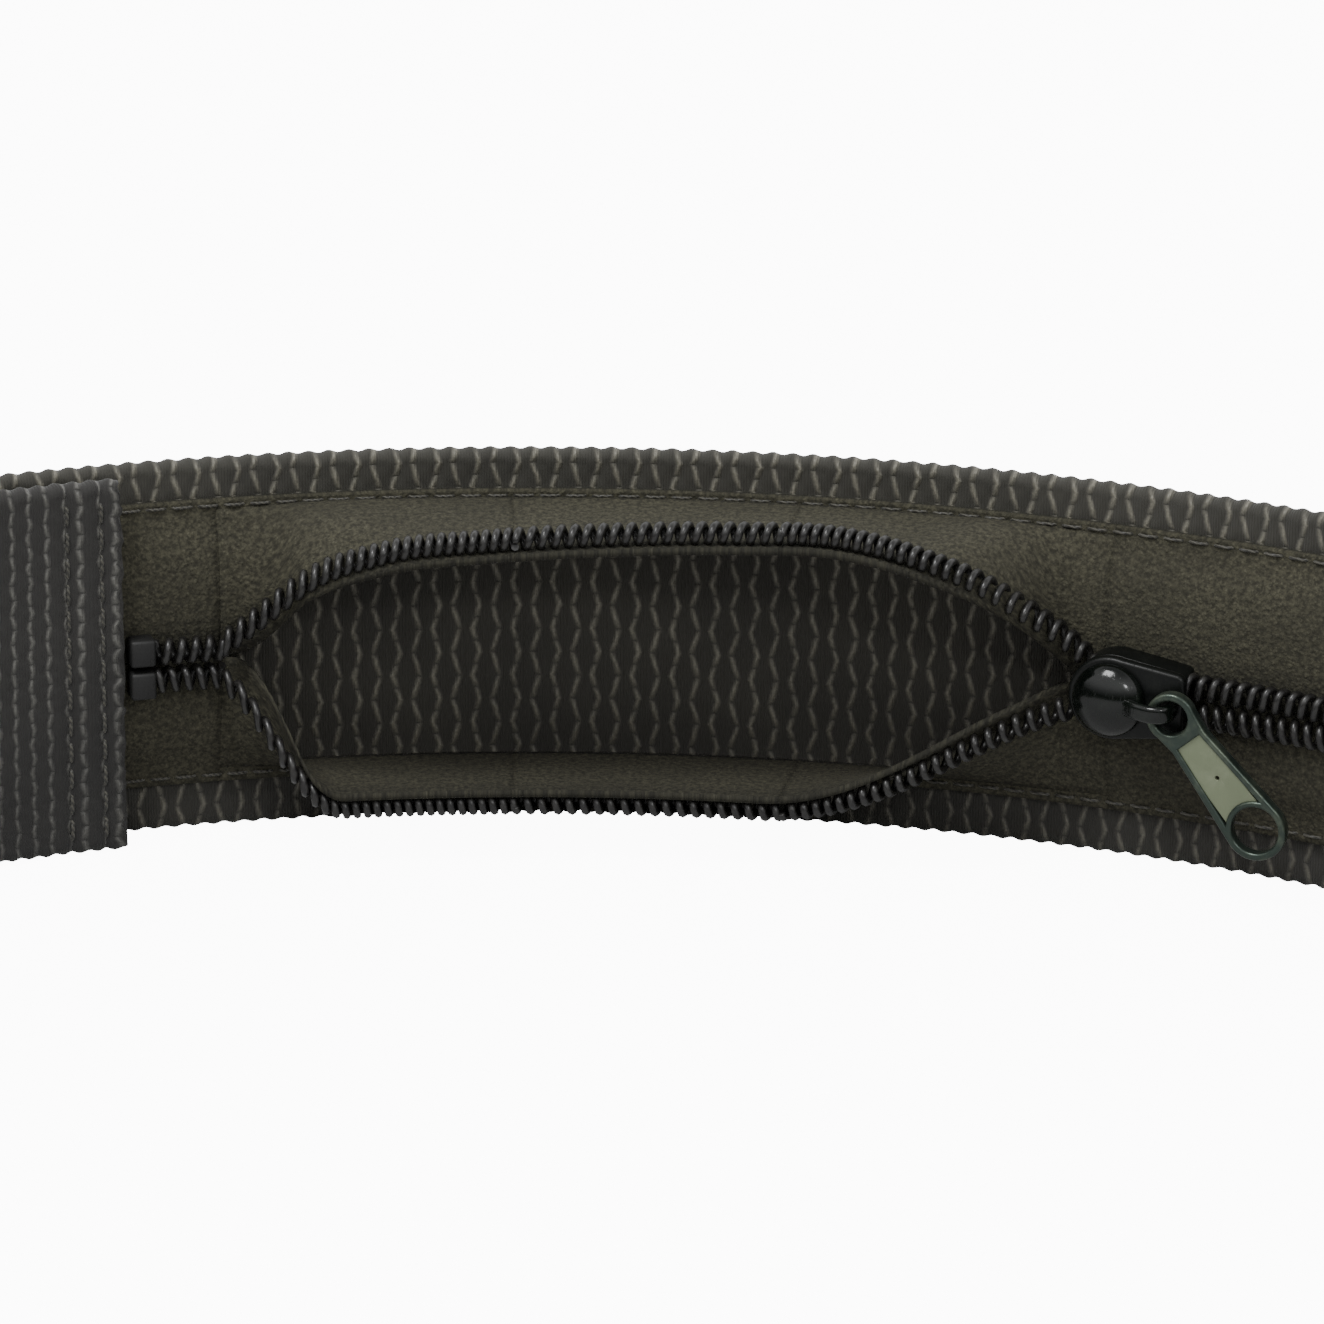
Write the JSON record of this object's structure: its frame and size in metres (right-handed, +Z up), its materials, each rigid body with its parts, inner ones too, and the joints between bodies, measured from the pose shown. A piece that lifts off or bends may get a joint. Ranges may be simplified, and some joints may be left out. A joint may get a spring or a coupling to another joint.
{
  "type": "money belt",
  "caption": "Webbing travel belt buckled in a loop, with a hidden coil-zip pocket sewn along its inner face, held open.",
  "frame": {"origin": "on the floor at the middle of the loop", "axes": "+Z up along the strap's width, +Y from the loop's centre to the middle of the open zip mouth, +X towards the slider's side"},
  "size_m": [0.3046, 0.302, 0.046],
  "materials": {
    "webbing": "coarse woven webbing, matt",
    "zip_tape": "fine knitted tape, matt",
    "zip_coil": "bare nylon monofilament",
    "clip_metal": "black painted clip",
    "thread": "bonded sewing thread",
    "slider_enamel": "gloss black enamel",
    "pull_metal": "worn gunmetal enamel",
    "spring_steel": "plain strip",
    "buckle_nylon": "fine moulded grain",
    "elastic": "ribbed elastic"
  },
  "bodies": {
    "belt": {"strap_main": "webbing", "strap_socket_end": "webbing", "strap_fold": "webbing", "strap_adjust_end": "webbing", "tail_strap": "webbing", "tail_hem": "webbing", "end_cover": "webbing", "upper_tape": "zip_tape", "lower_tape": "zip_tape", "upper_coil": "zip_coil", "lower_coil": "zip_coil", "top_stops": "clip_metal", "bottom_stop": "clip_metal", "upper_stitching": "thread", "lower_stitching": "thread", "fold_stitching": "thread", "cover_stitching": "thread", "hem_stitching": "thread", "buckle_socket": "buckle_nylon", "buckle_plug": "buckle_nylon"},
    "upper_flap": {"mouth_upper_tape": "zip_tape", "mouth_upper_coil": "zip_coil"},
    "lower_flap": {"mouth_lower_tape": "zip_tape", "mouth_lower_coil": "zip_coil"},
    "slider": {"slider_body": "slider_enamel", "slider_cap": "slider_enamel", "lock_spring": "spring_steel"},
    "pull": {"pull_tab": "pull_metal"},
    "upper_arm": {"upper_arm": "buckle_nylon"},
    "lower_arm": {"lower_arm": "buckle_nylon"},
    "keeper": {"keeper_loop": "elastic"}
  },
  "joints": [
    {"name": "zip_slide", "type": "hinge", "parent": "belt", "child": "slider", "pos_m": [0, 0, 0.0186], "axis": [0, 0, 1], "range_deg": [0, 33.2], "deforming": ["mouth_upper_tape", "mouth_upper_coil", "mouth_lower_tape", "mouth_lower_coil"]},
    {"name": "upper_flap_fold", "type": "hinge", "parent": "belt", "child": "upper_flap", "pos_m": [0.003, 0.1477, 0.0333], "axis": [1, 0, 0], "range_deg": [0, 92.5]},
    {"name": "lower_flap_fold", "type": "hinge", "parent": "belt", "child": "lower_flap", "pos_m": [0.003, 0.1477, 0.0065], "axis": [1, 0, 0], "range_deg": [-102.5, 0]},
    {"name": "pull_swing", "type": "hinge", "parent": "slider", "child": "pull", "pos_m": [0.05831, 0.12854, 0.0186], "axis": [0.3714, 0.9285, 0], "range_deg": [-139, 41]},
    {"name": "upper_arm_press", "type": "hinge", "parent": "belt", "child": "upper_arm", "pos_m": [-0.13384, 0.05258, 0.031], "axis": [-0.9135, 0.4067, 0], "range_deg": [0, 10]},
    {"name": "lower_arm_press", "type": "hinge", "parent": "belt", "child": "lower_arm", "pos_m": [-0.13384, 0.05258, 0.015], "axis": [-0.9135, 0.4067, 0], "range_deg": [-10, 0]},
    {"name": "keeper_slide", "type": "hinge", "parent": "belt", "child": "keeper", "pos_m": [0, 0, 0.023], "axis": [0, 0, 1], "range_deg": [-4, 8]}
  ],
  "couplings": [
    {"joint": "upper_flap_fold", "follows": "zip_slide", "ratio": 2.7711},
    {"joint": "lower_flap_fold", "follows": "zip_slide", "ratio": -3.0723},
    {"joint": "lower_arm_press", "follows": "upper_arm_press", "ratio": -1}
  ]
}
